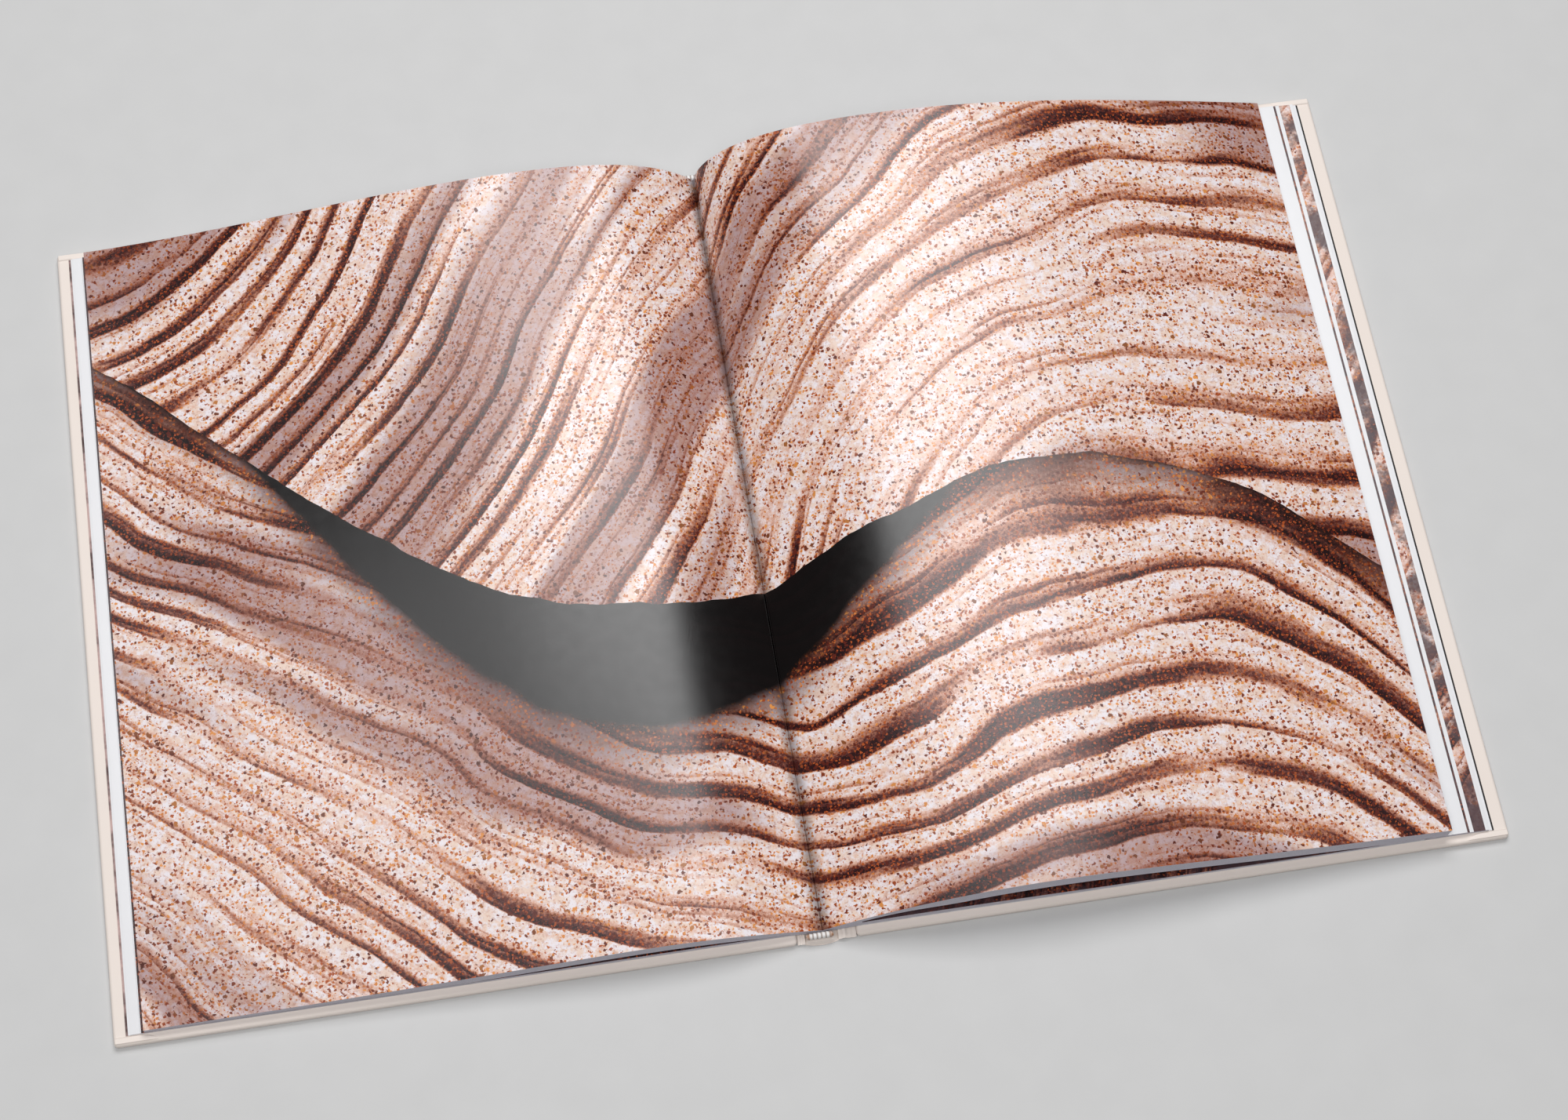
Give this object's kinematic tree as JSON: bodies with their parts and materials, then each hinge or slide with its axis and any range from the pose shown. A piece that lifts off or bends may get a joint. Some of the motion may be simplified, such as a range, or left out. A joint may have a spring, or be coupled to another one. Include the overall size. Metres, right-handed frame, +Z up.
{
  "type": "art book",
  "caption": "Large hardcover picture book lying open, its leaves arched over two stiff boards that hinge on the spine.",
  "frame": {"origin": "centre of the open case, on the surface that it lies on", "axes": "+X across the spread to the back cover, +Y from the foot of the pages to their head, +Z up"},
  "size_m": [0.47, 0.2976, 0.0357],
  "materials": {
    "covering": "smooth matte cream covering paper",
    "front_endpaper": "uncoated white, printed at its edge",
    "back_endpaper": "printed black",
    "lining": "gauze and glue",
    "headband": "fine stripes of thread",
    "pages": "semi-gloss coated paper, printed to the edge"
  },
  "bodies": {
    "spine": {"spine_strip": "covering", "front_joint_cloth": "covering", "back_joint_cloth": "covering", "spine_lining": "lining", "page_backs": "pages", "head_band": "headband", "tail_band": "headband"},
    "front": {"front_cover": "covering", "front_endpaper": "front_endpaper", "front_leaves": "pages"},
    "back": {"back_cover": "covering", "back_endpaper": "back_endpaper", "back_leaves": "pages"}
  },
  "joints": [
    {"name": "front_hinge", "type": "hinge", "parent": "spine", "child": "front", "pos_m": [-0.01, 0, 0.0012], "axis": [0, 1, 0], "range_deg": [0, 90], "deforming": ["front_leaves", "page_backs"]},
    {"name": "back_hinge", "type": "hinge", "parent": "spine", "child": "back", "pos_m": [0.01, 0, 0.0012], "axis": [0, -1, 0], "range_deg": [0, 90], "deforming": ["back_leaves"]}
  ]
}
